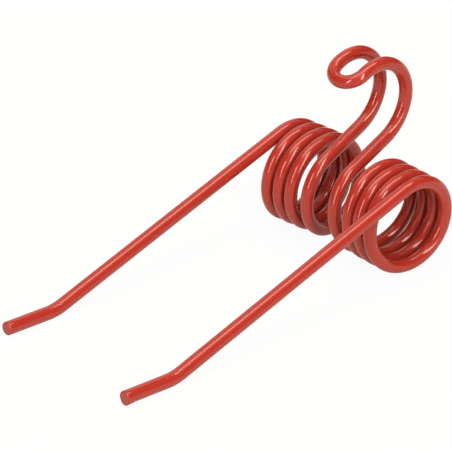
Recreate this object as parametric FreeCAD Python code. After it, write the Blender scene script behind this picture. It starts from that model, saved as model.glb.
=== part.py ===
import FreeCAD, Part
import math
import os
from FreeCAD import Matrix, Vector

# Baler pick-up tine: one length of round spring wire, bent to shape, with nothing joined to it.
# From the middle outwards each half runs eye, hook, arm, coil, leg, tip, and the left half
# mirrors the right. Sizes are in millimetres and degrees. +Z is up, X runs across the two
# coils, and the tines point towards -Y. The origin is the middle of the bolt eye. The tine
# lies as it rests on a floor, on its coils and on the bends near its tips.

# Wire
wire_diameter = 5.8
tip_edge_chamfer = 0.25

# Bolt eye, the U-bend that joins the two halves
bolt_diameter = 8.0
bolt_clearance = 1.5

# Hook, which seats on a round tine bar
bar_diameter = 28.0
bar_clearance = 0.7
hook_angle = 130.0

# Arm, from the hook down to the coil
arm_bend_inner_radius = 18.1
arm_bend_angle = 52.0
arm_length = 19.9

# Coil, whose first turn stands open beside the arm, with the other turns closer
coil_bore = 33.2
coil_turns = 4
open_turns = 1
open_turn_gap = 3.55
close_turn_gap = 0.95
arm_to_leg_angle = 7.5

# Leg and tip
leg_length = 128.5
tip_bend_inner_radius = 19.6
tip_bend_angle = 20.0
tip_length = 21.6

# Values that follow from the sizes above, with radii taken to the middle of the wire
wire_radius = wire_diameter / 2
eye_radius = (bolt_diameter + bolt_clearance) / 2 + wire_radius
hook_radius = (bar_diameter + bar_clearance) / 2 + wire_radius
arm_bend_radius = arm_bend_inner_radius + wire_radius
coil_radius = coil_bore / 2 + wire_radius
open_pitch = wire_diameter + open_turn_gap
close_pitch = wire_diameter + close_turn_gap
close_turns = coil_turns - open_turns - arm_to_leg_angle / 360
tip_bend_radius = tip_bend_inner_radius + wire_radius

# Across the tine, from one half to the other
outwards = Vector(1, 0, 0)

# How closely the resting slope is found, and how near its end a round edge is the wire's own rim
slope_tolerance = 1e-6
rim_tolerance = 1e-3


def sine(angle):
    return math.sin(math.radians(angle))


def cosine(angle):
    return math.cos(math.radians(angle))


def drop_below_coil(slope):
    """How much lower the tine's lowest point lies than the coil's, for one slope of the leg."""
    end_slope = max(slope - tip_bend_angle, 0)
    leg_drop = leg_length * sine(slope)
    bend_drop = tip_bend_radius * (cosine(end_slope) - cosine(slope))
    tip_drop = tip_length * sine(end_slope)
    coil_drop = coil_radius * (1 + cosine(slope))
    return leg_drop + bend_drop + tip_drop - coil_drop


def resting_slope():
    """Slope of the leg below level when the coil and the tine touch the same floor."""
    low, high = 0.0, 89.0
    while high - low > slope_tolerance:
        middle = (low + high) / 2
        if drop_below_coil(middle) < 0:
            low = middle
        else:
            high = middle
    return low


class BentWire:
    """The wire's centre line, made the way a wire bender makes it: feed, bend, roll and coil.

    point is its end so far, along is the direction of the wire there, and the wire bends
    about bend_axis, by the right-hand rule.
    """

    def __init__(self, point, along, bend_axis):
        self.point = point
        self.along = along
        self.bend_axis = bend_axis
        self.edges = []

    def feed(self, length):
        end = self.point + self.along * length
        self.edges.append(Part.makeLine(self.point, end))
        self.point = end

    def bend(self, radius, angle):
        inwards = self.bend_axis.cross(self.along)
        centre = self.point + inwards * radius
        middle = centre + (self.along * sine(angle / 2) - inwards * cosine(angle / 2)) * radius
        end = centre + (self.along * sine(angle) - inwards * cosine(angle)) * radius
        self.edges.append(Part.Arc(self.point, middle, end).toShape())
        self.point = end
        self.along = self.along * cosine(angle) + inwards * sine(angle)

    def roll(self, angle):
        self.bend_axis = FreeCAD.Rotation(self.along, angle).multVec(self.bend_axis)

    def coil(self, radius, pitch, turns):
        lead = math.degrees(math.atan2(pitch, 2 * math.pi * radius))
        axis = self.bend_axis * cosine(lead) + self.along * sine(lead)
        around = self.along * cosine(lead) - self.bend_axis * sine(lead)
        spoke = around.cross(axis)
        centre = self.point - spoke * radius
        helix = Part.makeHelix(pitch, pitch * turns, radius)
        helix.Placement = FreeCAD.Placement(
            Matrix(
                spoke.x, around.x, axis.x, centre.x,
                spoke.y, around.y, axis.y, centre.y,
                spoke.z, around.z, axis.z, centre.z,
                0, 0, 0, 1,
            )
        )
        self.edges.extend(helix.Edges)
        angle = 360 * turns
        end_spoke = spoke * cosine(angle) + around * sine(angle)
        end_around = around * cosine(angle) - spoke * sine(angle)
        self.point = centre + end_spoke * radius + axis * (pitch * turns)
        self.along = end_around * cosine(lead) + axis * sine(lead)
        self.bend_axis = end_spoke.cross(self.along)

    def solid(self, diameter):
        """The round wire itself, swept along its centre line."""
        start = self.edges[0].firstVertex().Point
        start_direction = self.edges[0].tangentAt(self.edges[0].FirstParameter)
        section = Part.Wire(Part.makeCircle(diameter / 2, start, start_direction))
        sweep = Part.BRepOffsetAPI.MakePipeShell(Part.Wire(self.edges))
        sweep.add(section)
        sweep.build()
        sweep.makeSolid()
        return sweep.shape()


def add_eye(wire):
    """The eye turns the wire straight back, so that each half leaves it square to its start."""
    inwards = wire.bend_axis.cross(wire.along)
    wire.bend(eye_radius, math.degrees(wire.along.getAngle(inwards)))


def add_hook_and_arm(wire):
    wire.bend_axis = outwards * -1
    wire.bend(hook_radius, hook_angle)
    wire.bend(arm_bend_radius, arm_bend_angle)
    wire.feed(arm_length)


def add_coil(wire, arm_rise):
    """A small roll before the coil keeps its turns level, though the arm comes in sloping."""
    lead_slope = close_pitch / (2 * math.pi * coil_radius)
    wire.bend_axis = outwards
    wire.roll(math.degrees(math.asin(lead_slope * math.tan(math.radians(arm_rise)))))
    wire.coil(coil_radius, open_pitch, open_turns)
    wire.coil(coil_radius, close_pitch, close_turns)


def add_leg_and_tip(wire):
    wire.feed(leg_length)
    wire.bend_axis = wire.bend_axis * -1
    wire.bend(tip_bend_radius, tip_bend_angle)
    wire.feed(tip_length)


def right_half():
    arm_rise = resting_slope() + arm_to_leg_angle
    eye_angle = arm_rise + arm_bend_angle + hook_angle
    towards_eye = Vector(0, cosine(eye_angle), sine(eye_angle))
    wire = BentWire(towards_eye * eye_radius, outwards, towards_eye.cross(outwards))
    add_eye(wire)
    add_hook_and_arm(wire)
    add_coil(wire, arm_rise)
    add_leg_and_tip(wire)
    half = wire.solid(wire_diameter)
    tip_edges = [edge for edge in half.Edges if is_round_tip(edge, wire.point)]
    return half.makeChamfer(tip_edge_chamfer, tip_edges)


def is_round_tip(edge, tip_centre):
    """True for the rim of the square-cut end, which is centred on the end of the wire."""
    if not hasattr(edge.Curve, "Center"):
        return False
    return (edge.Curve.Center - tip_centre).Length < rim_tolerance


right_tine = right_half()
left_tine = right_tine.mirror(Vector(), outwards)
tine = right_tine.fuse(left_tine).Solids[0]

os.makedirs("parts", exist_ok=True)
tine.exportStep("parts/tine.step")
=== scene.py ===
import bmesh
import bpy
import math
from mathutils import Matrix, Vector


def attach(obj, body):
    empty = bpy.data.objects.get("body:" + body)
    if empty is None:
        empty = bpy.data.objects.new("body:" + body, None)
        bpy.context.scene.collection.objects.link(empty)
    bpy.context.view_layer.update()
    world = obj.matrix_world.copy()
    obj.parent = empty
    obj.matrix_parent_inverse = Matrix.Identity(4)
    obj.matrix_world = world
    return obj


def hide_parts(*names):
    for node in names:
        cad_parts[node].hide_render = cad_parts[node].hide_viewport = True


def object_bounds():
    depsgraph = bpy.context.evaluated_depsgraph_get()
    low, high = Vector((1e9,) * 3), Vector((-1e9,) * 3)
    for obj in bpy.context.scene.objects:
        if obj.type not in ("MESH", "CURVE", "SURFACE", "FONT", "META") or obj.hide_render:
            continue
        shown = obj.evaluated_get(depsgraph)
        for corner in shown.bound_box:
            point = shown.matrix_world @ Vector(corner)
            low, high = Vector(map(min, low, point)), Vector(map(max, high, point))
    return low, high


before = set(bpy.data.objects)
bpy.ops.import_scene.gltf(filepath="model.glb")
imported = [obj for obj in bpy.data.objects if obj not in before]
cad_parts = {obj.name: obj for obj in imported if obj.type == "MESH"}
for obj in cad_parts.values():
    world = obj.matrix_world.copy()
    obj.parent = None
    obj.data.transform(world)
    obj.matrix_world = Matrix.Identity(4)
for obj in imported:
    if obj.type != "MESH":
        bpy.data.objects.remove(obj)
cadLow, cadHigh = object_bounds()  # the box of the plain solid, which the painted wire stays inside
print("frame loaded")


# The wire, bent from the middle of the eye outwards, in millimetres and degrees
tineWire = {
    "diameter": 5.76,  # a hair under the 5.8 of the solid, so that it stays inside its box
    "sides": 48,
    "eyeRadius": 7.65,  # every radius is to the middle of the wire
    "eyeAngle": 90.0,  # half of the eye, as the mirror makes the other half
    "hookRadius": 17.25,
    "hookAngle": 130.0,
    "armBendRadius": 21.0,
    "armBendAngle": 52.0,
    "armLength": 19.9,
    "armRise": 24.328,  # slope of the arm where it meets the coil
    "coilRadius": 19.5,
    "openPitch": 9.35,  # the turn beside the arm stands open
    "openAngle": 360.0,
    "closePitch": 6.75,
    "closeAngle": 3 * 360.0 - 7.5,
    "legLength": 128.5,
    "tipBendRadius": 22.5,
    "tipBendAngle": 20.0,
    "tipLength": 21.6,
    "tipEdge": 0.4,  # rounding of the rim that the shear leaves
    "tipEdgeSteps": 4,
    "tipRim": 0.5,  # width of the glossy rim round the cut face
    "tipHollow": 0.06,  # the shear leaves the cut face a little hollow
    "tipLip": 0.4,  # droop of the lip under the right tip
    "lipDepths": (0.6, 0.75, 0.9),  # where it starts, in radii below the middle of the wire
    "feedStep": 4.0,  # room between two rings of points along the wire, here and below
    "bendStep": 4.0,
    "tipBendStep": 2.0,
    "coilStep": 5.0,
    "mirrorGap": 0.01,  # points this near to the mirror's plane join the two halves
    "doubleGap": 0.001,
}
millimetre = 0.001
wallCorners = 4  # every face of the wire's wall has four corners, and only the cut faces have more


def sizeOf(name):
    return tineWire[name] * millimetre


def makeObject(name, mesh):
    data = bpy.data.meshes.new(name)
    mesh.to_mesh(data)
    mesh.free()
    piece = bpy.data.objects.new(name, data)
    bpy.context.scene.collection.objects.link(piece)
    return piece


def startWire(mesh, point, along, bendAxis):
    # every point of the section is stamped with its place on the straight stock, so that the
    # finish can follow the wire
    stock = mesh.verts.layers.float_vector.new("straightStock")
    inwards = bendAxis.cross(along)
    turned = Matrix((inwards, bendAxis, along)).transposed().to_4x4()
    circle = bmesh.ops.create_circle(
        mesh,
        cap_ends=False,
        radius=sizeOf("diameter") / 2,
        segments=tineWire["sides"],
        matrix=Matrix.Translation(point) @ turned,
    )
    for vert in circle["verts"]:
        offset = vert.co - point
        vert[stock] = (offset.dot(inwards), offset.dot(bendAxis), 0)
    edges = {edge for vert in circle["verts"] for edge in vert.link_edges}
    return {
        "mesh": mesh,
        "stock": stock,
        "ring": list(circle["verts"]) + list(edges),
        "point": point.copy(),
        "along": along.copy(),
        "bendAxis": bendAxis.copy(),
        "length": 0.0,
    }


def ringVerts(wire):
    return [item for item in wire["ring"] if isinstance(item, bmesh.types.BMVert)]


def ringEdges(wire):
    return [item for item in wire["ring"] if isinstance(item, bmesh.types.BMEdge)]


def markLength(wire, length):
    wire["length"] += length
    for vert in ringVerts(wire):
        vert[wire["stock"]].z += length


def feedWire(wire, length):
    steps = max(1, round(length / sizeOf("feedStep")))
    for _ in range(steps):
        made = bmesh.ops.extrude_edge_only(wire["mesh"], edges=ringEdges(wire))
        wire["ring"] = [item for item in made["geom"] if not isinstance(item, bmesh.types.BMFace)]
        bmesh.ops.translate(wire["mesh"], verts=ringVerts(wire), vec=wire["along"] * (length / steps))
        markLength(wire, length / steps)
    wire["point"] = wire["point"] + wire["along"] * length


def turnWire(wire, radius, degrees, stepDegrees, pitch=0.0):
    # a plain bend, or with a pitch a run of coil
    lead = math.atan2(pitch, 2 * math.pi * radius)
    axis = wire["bendAxis"] * math.cos(lead) + wire["along"] * math.sin(lead)
    around = wire["along"] * math.cos(lead) - wire["bendAxis"] * math.sin(lead)
    spoke = around.cross(axis)
    centre = wire["point"] - spoke * radius
    steps = max(1, round(degrees / stepDegrees))
    stepAngle = math.radians(degrees) / steps
    rise = pitch * stepAngle / (2 * math.pi)
    for _ in range(steps):
        made = bmesh.ops.spin(
            wire["mesh"],
            geom=wire["ring"],
            cent=centre,
            axis=axis,
            dvec=axis * rise,
            angle=stepAngle,
            steps=1,
            use_duplicate=False,
        )
        wire["ring"] = made["geom_last"]
        markLength(wire, math.hypot(radius * stepAngle, rise))
    turned = Matrix.Rotation(math.radians(degrees), 3, axis)
    wire["point"] = centre + turned @ (spoke * radius) + axis * (rise * steps)
    wire["along"] = turned @ wire["along"]
    wire["bendAxis"] = turned @ wire["bendAxis"]


def closeTip(wire):
    # a sheared end: a hollow face inside a rim that the shear has rounded over
    mesh = wire["mesh"]
    bmesh.ops.contextual_create(mesh, geom=ringEdges(wire))
    bmesh.ops.bevel(
        mesh,
        geom=ringEdges(wire),
        offset=sizeOf("tipEdge"),
        segments=tineWire["tipEdgeSteps"],
        profile=0.5,
        affect="EDGES",
        material=-1,
    )
    endFace = next(face for face in mesh.faces if len(face.verts) > wallCorners)
    bmesh.ops.inset_individual(mesh, faces=[endFace], thickness=sizeOf("tipRim"))
    bmesh.ops.translate(mesh, verts=endFace.verts, vec=wire["along"] * -sizeOf("tipHollow"))
    for vert in endFace.verts:
        vert[wire["stock"]].z += sizeOf("tipRim")


def bendHalf(mesh):
    outwards = Vector((1, 0, 0))
    eyeRise = math.radians(tineWire["armRise"] + tineWire["armBendAngle"] + tineWire["hookAngle"])
    towardsEye = Vector((0, math.cos(eyeRise), math.sin(eyeRise)))
    start = towardsEye * sizeOf("eyeRadius")
    wire = startWire(mesh, start, outwards, towardsEye.cross(outwards))
    turnWire(wire, sizeOf("eyeRadius"), tineWire["eyeAngle"], tineWire["bendStep"])
    wire["bendAxis"] = -outwards
    turnWire(wire, sizeOf("hookRadius"), tineWire["hookAngle"], tineWire["bendStep"])
    turnWire(wire, sizeOf("armBendRadius"), tineWire["armBendAngle"], tineWire["bendStep"])
    feedWire(wire, sizeOf("armLength"))
    # a small roll keeps the turns level, though the arm comes in sloping
    leadSlope = tineWire["closePitch"] / (2 * math.pi * tineWire["coilRadius"])
    roll = math.asin(leadSlope * math.tan(math.radians(tineWire["armRise"])))
    wire["bendAxis"] = Matrix.Rotation(roll, 3, wire["along"]) @ outwards
    for angle, pitch in (("openAngle", "openPitch"), ("closeAngle", "closePitch")):
        turnWire(wire, sizeOf("coilRadius"), tineWire[angle], tineWire["coilStep"], sizeOf(pitch))
    feedWire(wire, sizeOf("legLength"))
    wire["bendAxis"] = -wire["bendAxis"]
    turnWire(wire, sizeOf("tipBendRadius"), tineWire["tipBendAngle"], tineWire["tipBendStep"])
    feedWire(wire, sizeOf("tipLength"))
    closeTip(wire)
    return wire


def mirrorHalf(wire):
    mesh = wire["mesh"]
    half = list(mesh.verts) + list(mesh.edges) + list(mesh.faces)
    bmesh.ops.mirror(mesh, geom=half, axis="X", merge_dist=sizeOf("mirrorGap"))
    bmesh.ops.remove_doubles(mesh, verts=mesh.verts, dist=sizeOf("doubleGap"))
    bmesh.ops.recalc_face_normals(mesh, faces=mesh.faces)
    # the shape is a mirror image, but the finish is not: the stock of this half runs the other way
    for vert in mesh.verts:
        if vert.co.x < 0:
            vert[wire["stock"]].z *= -1


def dropLip(wire):
    # the shear has drawn a small lip down from the lower edge of the right tip
    rimStart = wire["length"] - sizeOf("tipRim")
    rim = [vert for vert in wire["mesh"].verts if vert[wire["stock"]].z > rimStart]
    drop = -sizeOf("tipLip") / len(tineWire["lipDepths"])
    for depth in tineWire["lipDepths"]:
        lipStart = depth * sizeOf("diameter") / 2
        low = [vert for vert in rim if wire["point"].z - vert.co.z > lipStart]
        bmesh.ops.translate(wire["mesh"], verts=low, vec=(0, 0, drop))


def buildTine():
    mesh = bmesh.new()
    wire = bendHalf(mesh)
    mirrorHalf(wire)
    dropLip(wire)
    for face in mesh.faces:
        face.smooth = len(face.verts) <= wallCorners
    return makeObject("paintedTine", mesh), wire["length"]


paintedTine, wireLength = buildTine()
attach(paintedTine, "root")
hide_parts("tine")
print("wire bent", len(paintedTine.data.vertices), "points", len(paintedTine.data.polygons), "faces")


# Small helpers for node trees. A value is another node's output, a colour or a number.
def fillSocket(tree, value, socket):
    if isinstance(value, bpy.types.NodeSocket):
        tree.links.new(value, socket)
    elif isinstance(value, tuple):
        socket.default_value = (*value, 1)
    else:
        socket.default_value = value


def combine(tree, operation, *values):
    node = tree.nodes.new("ShaderNodeMath")
    node.operation = operation
    for value, socket in zip(values, node.inputs):
        fillSocket(tree, value, socket)
    return node.outputs[0]


def blend(tree, share, first, second):
    node = tree.nodes.new("ShaderNodeMix")
    node.data_type = "RGBA"
    fillSocket(tree, share, node.inputs["Factor"])
    fillSocket(tree, first, node.inputs["A"])
    fillSocket(tree, second, node.inputs["B"])
    return node.outputs["Result"]


def noise(tree, place, scale, detail):
    node = tree.nodes.new("ShaderNodeTexNoise")
    node.inputs["Scale"].default_value = scale
    node.inputs["Detail"].default_value = detail
    tree.links.new(place, node.inputs["Vector"])
    return node.outputs["Fac"]


def stretch(tree, place, scale):
    node = tree.nodes.new("ShaderNodeVectorMath")
    node.operation = "MULTIPLY"
    node.inputs[1].default_value = scale
    tree.links.new(place, node.inputs[0])
    return node.outputs[0]


def ramp(tree, value, steps):
    # steps are pairs of a place on the ramp and its colour, the lowest place first
    node = tree.nodes.new("ShaderNodeValToRGB")
    tree.links.new(value, node.inputs["Fac"])
    stops = node.color_ramp.elements
    stops.remove(stops[1])
    for number, (position, colour) in enumerate(steps):
        stop = stops[0] if number == 0 else stops.new(position)
        stop.position = position
        stop.color = (*colour, 1)
    return node.outputs["Color"]


redPaint = {
    "colour": (0.303, 0.0235, 0.0163),
    "thinColour": (0.328, 0.029, 0.0198),  # where the coat has run thin
    "cutPaintAndSheen": (0.29, 0.038, 0.024),  # on the two sheared faces: a paler, pinker paint, partly a thinner coat and partly a painted reflection of the bright room
    "gloss": (0.07, 0.11),  # roughness from the shiniest patch to the dullest
    "cutRoughness": 0.4,
    "cutFade": 0.8,  # part of the rim's width over which the cut face's look begins
    # noises, as how many of them go to a metre and how fine their detail is
    "colourPatches": (110, 3),
    "glossPatches": (330, 2),
    "peel": (800, 1),
    "drawnLines": (1300, 1),
    "toolMarks": (380, 1),
    "shearLines": (1600, 2),
    "drawnStretch": 0.02,  # scale along the lines, against 1 across them, here and below
    "shearStretch": 0.15,
    "dust": 320,  # specks to a metre
    "dustSize": 0.05,  # of the room between two specks
    # heights, in millimetres
    "peelHeight": 0.007,
    "drawnHeight": 0.006,
    "toolHeight": 0.3,
    "shearHeight": 0.05,
    "dustHeight": 0.03,
    # how much the bending tools have marked the wire, by parts of its length from the eye to a tip
    "toolRamp": ((0.0, 0.1), (0.088, 0.1), (0.098, 0), (0.953, 0), (0.96, 1), (0.968, 1), (0.975, 0)),
}


def addColour(tree, shader, place, onCut):
    patches = noise(tree, place, *redPaint["colourPatches"])
    paint = blend(tree, patches, redPaint["colour"], redPaint["thinColour"])
    # the cut faces take a paler, pinker colour, partly a thinner coat and partly a painted reflection
    # of the bright room
    colour = blend(tree, onCut, paint, redPaint["cutPaintAndSheen"])
    tree.links.new(colour, shader.inputs["Base Color"])


def addGloss(tree, shader, place, onCut):
    shiniest, dullest = redPaint["gloss"]
    patches = noise(tree, place, *redPaint["glossPatches"])
    gloss = combine(tree, "MULTIPLY_ADD", patches, dullest - shiniest, shiniest)
    dulled = combine(tree, "MULTIPLY_ADD", onCut, redPaint["cutRoughness"] - dullest, gloss)
    tree.links.new(dulled, shader.inputs["Roughness"])


def addRelief(tree, shader, place, onCut, onMarks):
    peel = noise(tree, place, *redPaint["peel"])
    drawn = noise(tree, stretch(tree, place, (1, 1, redPaint["drawnStretch"])), *redPaint["drawnLines"])
    tool = combine(tree, "MULTIPLY", noise(tree, place, *redPaint["toolMarks"]), onMarks)
    shear = noise(tree, stretch(tree, place, (1, redPaint["shearStretch"], 0)), *redPaint["shearLines"])
    shear = combine(tree, "MULTIPLY", shear, onCut)
    dust = tree.nodes.new("ShaderNodeTexVoronoi")
    dust.inputs["Scale"].default_value = redPaint["dust"]
    tree.links.new(place, dust.inputs["Vector"])
    speck = combine(tree, "LESS_THAN", dust.outputs["Distance"], redPaint["dustSize"])
    height = combine(tree, "MULTIPLY", peel, redPaint["peelHeight"])
    for relief, name in (
        (drawn, "drawnHeight"),
        (tool, "toolHeight"),
        (shear, "shearHeight"),
        (speck, "dustHeight"),
    ):
        height = combine(tree, "MULTIPLY_ADD", relief, redPaint[name], height)
    bump = tree.nodes.new("ShaderNodeBump")
    bump.inputs["Distance"].default_value = millimetre
    tree.links.new(height, bump.inputs["Height"])
    tree.links.new(bump.outputs["Normal"], shader.inputs["Normal"])


def makeRedPaint(halfLength):
    material = bpy.data.materials.new("redPaint")
    material.use_nodes = True
    tree = material.node_tree
    shader = tree.nodes["Principled BSDF"]
    stock = tree.nodes.new("ShaderNodeAttribute")
    stock.attribute_name = "straightStock"
    place = stock.outputs["Vector"]
    split = tree.nodes.new("ShaderNodeSeparateXYZ")
    tree.links.new(place, split.inputs[0])
    along = combine(tree, "DIVIDE", combine(tree, "ABSOLUTE", split.outputs["Z"]), halfLength)
    # 0 on the wire and 1 on its cut faces, which are stamped as if they lay past its end
    cut = tree.nodes.new("ShaderNodeMapRange")
    cut.inputs["From Min"].default_value = 1.0
    cut.inputs["From Max"].default_value = 1.0 + redPaint["cutFade"] * sizeOf("tipRim") / halfLength
    tree.links.new(along, cut.inputs["Value"])
    onCut = cut.outputs[0]
    onMarks = ramp(tree, along, [(part, (level, level, level)) for part, level in redPaint["toolRamp"]])
    addColour(tree, shader, place, onCut)
    addGloss(tree, shader, place, onCut)
    addRelief(tree, shader, place, onCut, onMarks)
    return material


paintedTine.data.materials.append(makeRedPaint(wireLength))
print("paint mixed")


whiteFloor = {
    "halfWidth": 30.0,  # metres
    "colour": (0.68, 0.68, 0.68),
    "roughness": 0.9,
    "shown": 0.95,  # how much of what is seen is plain white, the rest being the lit surface
    "shownColour": (1.0, 1.0, 1.0),
    "mirrored": 0.4,  # how much of its reflection in the paint is the colour of the light
}
lightColour = (1.0, 0.85, 0.72)


def makeWhite():
    material = bpy.data.materials.new("whiteFloor")
    material.use_nodes = True
    tree = material.node_tree
    shader = tree.nodes["Principled BSDF"]
    fillSocket(tree, whiteFloor["colour"], shader.inputs["Base Color"])
    shader.inputs["Roughness"].default_value = whiteFloor["roughness"]
    shader.inputs["Specular IOR Level"].default_value = 0
    rays = tree.nodes.new("ShaderNodeLightPath").outputs
    mirrored = combine(tree, "MAXIMUM", rays["Is Glossy Ray"], rays["Is Transmission Ray"])
    surface = shader.outputs[0]
    for ray, share, colour in (
        (mirrored, whiteFloor["mirrored"], lightColour),
        (rays["Is Camera Ray"], whiteFloor["shown"], whiteFloor["shownColour"]),
    ):
        glow = tree.nodes.new("ShaderNodeEmission")
        fillSocket(tree, colour, glow.inputs["Color"])
        mix = tree.nodes.new("ShaderNodeMixShader")
        tree.links.new(combine(tree, "MULTIPLY", ray, share), mix.inputs[0])
        tree.links.new(surface, mix.inputs[1])
        tree.links.new(glow.outputs[0], mix.inputs[2])
        surface = mix.outputs[0]
    tree.links.new(surface, tree.nodes["Material Output"].inputs["Surface"])
    return material


def layFloor():
    mesh = bmesh.new()
    bmesh.ops.create_grid(mesh, x_segments=1, y_segments=1, size=whiteFloor["halfWidth"])
    bmesh.ops.translate(mesh, verts=mesh.verts, vec=(0, 0, cadLow.z))
    floor = makeObject("whiteFloor", mesh)
    floor.data.materials.append(makeWhite())


layFloor()
print("floor laid")


# Studio: a dim room with low pale walls and a lighter ceiling, two strip lights, a broad tube
# overhead and softboxes. Every angle is in degrees.
studioRoom = {
    # (height above level as seen from the tine, brightness there)
    "wallTop": (6.0, 0.45),
    "roomLow": (7.0, 0.06),
    "roomHigh": (54.0, 0.06),
    "ceilingEdge": (62.0, 1.35),
    "ceilingMiddle": (90.0, 1.2),
}
studioLights = {
    # Direction is (azimuth, elevation), azimuth 0 towards +Y and 90 towards +X. Spread is how wide
    # and high the light looks from the tine, lean how far its top turns to greater azimuths.
    "rightStrip": {"direction": (103, 28), "spread": (14, 58), "lean": 8, "radiance": 10.0},
    "leftStrip": {"direction": (167, 21), "spread": (13, 36), "lean": 8, "radiance": 9.5},
    "frontSoftbox": {"direction": (146, 34), "spread": (52, 28), "lean": 0, "radiance": 0.5},
    "rearStrip": {"direction": (-118, 60), "spread": (36, 12), "lean": 0, "radiance": 1.0},
    "rearSoftbox": {"direction": (-35, 44), "spread": (55, 16), "lean": 0, "radiance": 0.8},
    "rearFill": {"direction": (-66, 28), "spread": (50, 44), "lean": 0, "radiance": 0.9},
    "topTube": {"direction": (90, 88), "spread": (64, 18), "lean": -27, "radiance": 4.8},
    "topSoftbox": {"direction": (150, 70), "spread": (42, 42), "lean": 0, "radiance": 0.7},
}
lightDistance = 3.0  # metres from the tine


def directionTo(azimuth, elevation):
    turned = math.radians(azimuth)
    raised = math.radians(elevation)
    return Vector((
        math.sin(turned) * math.cos(raised),
        math.cos(turned) * math.cos(raised),
        math.sin(raised),
    ))


def hangLight(name, light):
    wide, high = [2 * lightDistance * math.tan(math.radians(angle) / 2) for angle in light["spread"]]
    data = bpy.data.lights.new(name, "AREA")
    data.shape = "RECTANGLE"
    data.size = wide
    data.size_y = high
    data.energy = light["radiance"] * math.pi * wide * high
    data.color = lightColour
    lamp = bpy.data.objects.new(name, data)
    towards = directionTo(*light["direction"])
    side = Vector((0, 0, 1)).cross(towards).normalized()
    turned = Matrix((side, towards.cross(side), towards)).transposed()
    turned = Matrix.Rotation(math.radians(light["lean"]), 3, towards) @ turned
    lamp.matrix_world = Matrix.Translation(towards * lightDistance) @ turned.to_4x4()
    bpy.context.scene.collection.objects.link(lamp)


def makeWorld():
    world = bpy.data.worlds.new("studioRoom")
    world.use_nodes = True
    tree = world.node_tree
    place = tree.nodes.new("ShaderNodeTexCoord")
    split = tree.nodes.new("ShaderNodeSeparateXYZ")
    tree.links.new(place.outputs["Generated"], split.inputs[0])
    brightest = max(level for height, level in studioRoom.values())
    steps = []
    for height, level in studioRoom.values():
        colour = [part * level / brightest for part in lightColour]
        steps.append((math.sin(math.radians(height)), colour))
    background = tree.nodes["Background"]
    background.inputs["Strength"].default_value = brightest
    tree.links.new(ramp(tree, split.outputs["Z"], steps), background.inputs["Color"])
    bpy.context.scene.world = world


for name, light in studioLights.items():
    hangLight(name, light)
makeWorld()
print("lights hung")


# Camera, found by fitting the bent wire's outline to the photograph's
photoCamera = {
    "place": (0.773278, -0.767617, 0.504321),
    "right": (0.6723193, 0.7402265, -0.0071690),
    "up": (-0.3428275, 0.3199310, 0.8832403),
    "focalPixels": 2889.07,
    "imagePixels": 452,
    "sensorWidth": 36.0,  # millimetres
    "clipEnd": 100.0,  # metres, past the far edge of the floor
}


def setCamera():
    data = bpy.data.cameras.new("photoCamera")
    data.sensor_fit = "HORIZONTAL"
    data.sensor_width = photoCamera["sensorWidth"]
    data.lens = photoCamera["sensorWidth"] * photoCamera["focalPixels"] / photoCamera["imagePixels"]
    data.clip_end = photoCamera["clipEnd"]
    camera = bpy.data.objects.new("photoCamera", data)
    right = Vector(photoCamera["right"])
    up = Vector(photoCamera["up"])
    turned = Matrix((right, up, right.cross(up))).transposed().to_4x4()
    camera.matrix_world = Matrix.Translation(photoCamera["place"]) @ turned
    bpy.context.scene.collection.objects.link(camera)
    bpy.context.scene.camera = camera
    bpy.context.scene.view_settings.view_transform = "Standard"


setCamera()
print("camera set")
